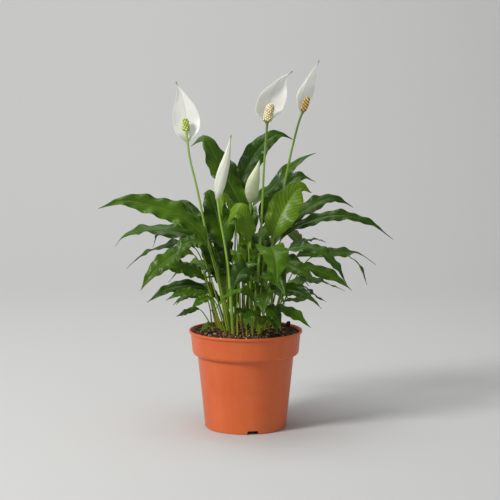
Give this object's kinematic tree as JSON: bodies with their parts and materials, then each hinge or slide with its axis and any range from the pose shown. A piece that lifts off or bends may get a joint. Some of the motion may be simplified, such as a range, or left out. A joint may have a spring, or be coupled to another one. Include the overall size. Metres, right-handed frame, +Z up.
{
  "type": "potted peace lily",
  "caption": "Peace lily in a round tapered nursery pot: glossy arching leaves on long stalks, white hooded flowers each with a knobbly spike, and closed pointed buds.",
  "frame": {"origin": "centre of the pot's flat underside", "axes": "+Z up along the pot's axis, -Y towards the front that the picture shows, +X to its right"},
  "size_m": [0.4345, 0.3161, 0.5472],
  "materials": {
    "terracotta": "satin",
    "potting_mix": "matte",
    "leaf": "satin",
    "young_leaf": "satin",
    "flower_stalk": "satin",
    "spathe": "satin",
    "spadix": "matte"
  },
  "bodies": {
    "root": {"pot": "terracotta", "potting_mix": "potting_mix", "leaf_top_1": "leaf", "leaf_top_2": "leaf", "leaf_top_3": "leaf", "leaf_top_4": "leaf", "leaf_top_5": "young_leaf", "leaf_top_6": "young_leaf", "leaf_top_7": "young_leaf", "leaf_top_8": "leaf", "leaf_left_1": "leaf", "leaf_left_2": "leaf", "leaf_left_3": "leaf", "leaf_left_4": "leaf", "leaf_left_5": "leaf", "leaf_left_6": "leaf", "leaf_left_7": "leaf", "leaf_left_8": "leaf", "leaf_left_9": "leaf", "leaf_left_10": "leaf", "leaf_left_11": "leaf", "leaf_left_12": "leaf", "leaf_left_13": "leaf", "leaf_left_14": "leaf", "leaf_front_1": "leaf", "leaf_front_2": "leaf", "leaf_front_3": "leaf", "leaf_front_4": "leaf", "leaf_front_5": "leaf", "leaf_front_6": "leaf", "leaf_front_7": "leaf", "leaf_front_8": "leaf", "leaf_right_1": "leaf", "leaf_right_2": "leaf", "leaf_right_3": "leaf", "leaf_right_4": "leaf", "leaf_right_5": "leaf", "leaf_right_6": "leaf", "leaf_right_7": "leaf", "leaf_right_8": "leaf", "leaf_right_9": "leaf", "leaf_right_10": "leaf", "leaf_back_1": "leaf", "shoot_front": "leaf", "shoot_middle": "leaf", "shoot_back_left": "leaf", "shoot_back_right": "leaf", "flower_left_stalk": "flower_stalk", "flower_left_spathe": "spathe", "flower_left_spadix": "spadix", "flower_middle_stalk": "flower_stalk", "flower_middle_spathe": "spathe", "flower_middle_spadix": "spadix", "flower_right_stalk": "flower_stalk", "flower_right_spathe": "spathe", "flower_right_spadix": "spadix", "bud_left_stalk": "flower_stalk", "bud_left_spathe": "spathe", "bud_middle_stalk": "flower_stalk", "bud_middle_spathe": "spathe"}
  },
  "joints": []
}
